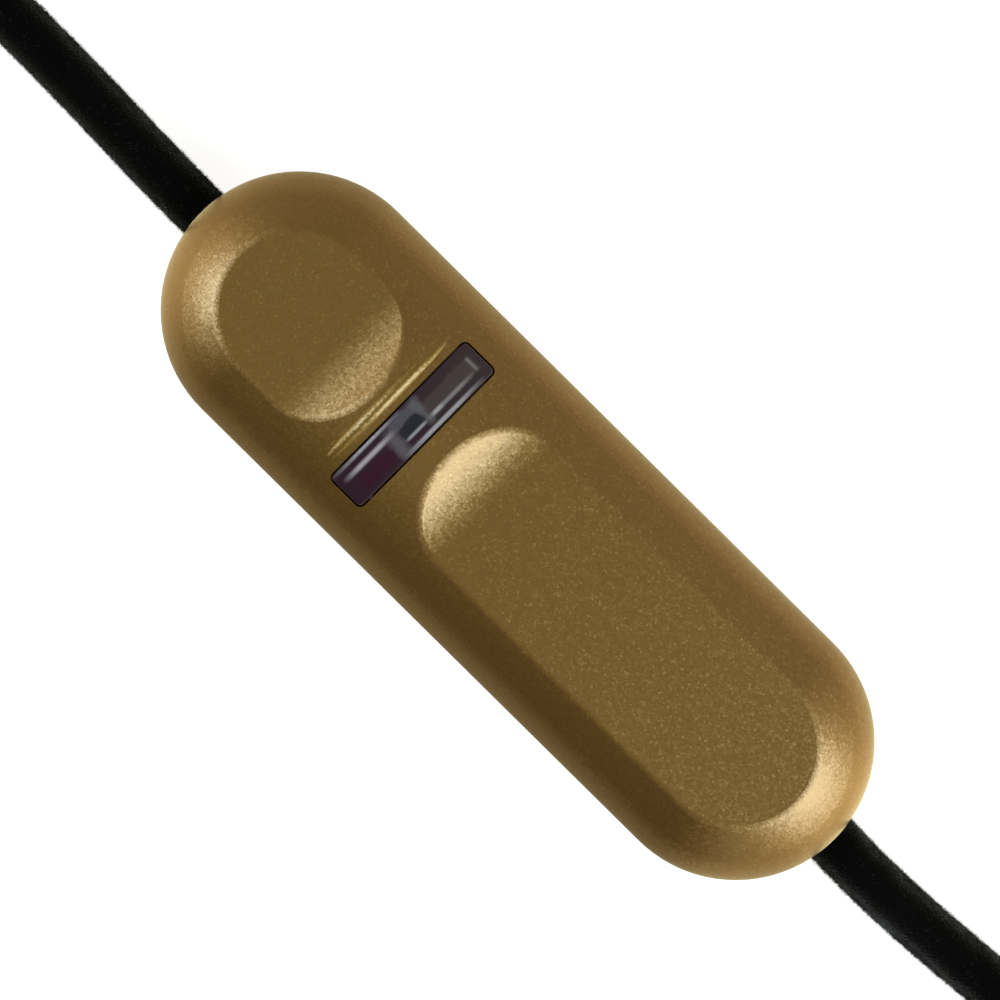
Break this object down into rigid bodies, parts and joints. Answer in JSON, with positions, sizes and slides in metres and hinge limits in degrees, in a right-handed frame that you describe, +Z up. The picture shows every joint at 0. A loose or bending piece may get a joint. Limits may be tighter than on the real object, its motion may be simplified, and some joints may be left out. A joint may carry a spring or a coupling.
{
  "type": "inline cord dimmer",
  "caption": "Slim stadium-shaped touch dimmer in a textile lamp cord: two sunken touch pads, an indicator lens between them, a mains lead with plug and a lamp lead with stripped ends.",
  "frame": {"origin": "centre of the housing's flat underside", "axes": "+X along the housing towards the long touch pad and the lamp lead, +Y across it, +Z up through the touch pads"},
  "size_m": [0.4007, 0.045, 0.0354],
  "materials": {
    "cover_paint": "antique gold metallic paint on moulded plastic, fine speckle",
    "lens": "smoky clear moulded bar",
    "led": "dark tinted",
    "board": "solder-masked laminate",
    "foil": "copper foil",
    "spring_metal": "tin-plated spring strip",
    "heat_sink": "plain sheet",
    "component_black": "moulded",
    "ferrite": "bare ferrite",
    "copper_wire": "enamelled copper wire",
    "component_yellow": "moulded",
    "can": "sleeved can",
    "component_blue": "lacquered",
    "terminal_plastic": "moulded",
    "screw_steel": "zinc plated",
    "clamp_plastic": "moulded",
    "core_brown": "smooth",
    "core_blue": "smooth",
    "cord_textile": "black braided sleeve with a light fuzz",
    "tie_fabric": "woven strap",
    "plug_black": "moulded, satin",
    "pin_metal": "nickel-plated brass",
    "sleeve_black": "moulded",
    "ferrule": "tinned, crimped"
  },
  "bodies": {
    "root": {"top_cover": "cover_paint", "bottom_cover": "cover_paint", "indicator_lens": "lens", "indicator_led": "led", "led_leads": "spring_metal", "circuit_board": "board", "round_touch_plate": "foil", "long_touch_plate": "foil", "round_touch_contact": "spring_metal", "long_touch_contact": "spring_metal", "heat_sink": "heat_sink", "power_switch": "component_black", "power_switch_legs": "spring_metal", "choke_core": "ferrite", "choke_winding": "copper_wire", "film_capacitor": "component_yellow", "electrolytic_capacitor": "can", "fuse": "component_black", "control_chip": "component_black", "resistors": "component_blue", "diodes": "component_black", "line_terminal_block": "terminal_plastic", "lamp_terminal_block": "terminal_plastic", "terminal_screws": "screw_steel", "line_cord_clamp": "clamp_plastic", "lamp_cord_clamp": "clamp_plastic", "clamp_screws": "screw_steel", "housing_screws": "screw_steel", "line_brown_core": "core_brown", "line_blue_core": "core_blue", "lamp_brown_core": "core_brown", "lamp_blue_core": "core_blue", "line_cord": "cord_textile", "line_cord_hank": "cord_textile", "line_hank_ties": "tie_fabric", "line_cord_end": "cord_textile", "plug_body": "plug_black", "plug_pins": "pin_metal", "plug_pin_sleeves": "sleeve_black", "lamp_cord": "cord_textile", "lamp_cord_hank": "cord_textile", "lamp_hank_ties": "tie_fabric", "lamp_cord_end": "cord_textile", "lamp_brown_lead": "core_brown", "lamp_blue_lead": "core_blue", "lead_ferrules": "ferrule"}
  },
  "joints": []
}
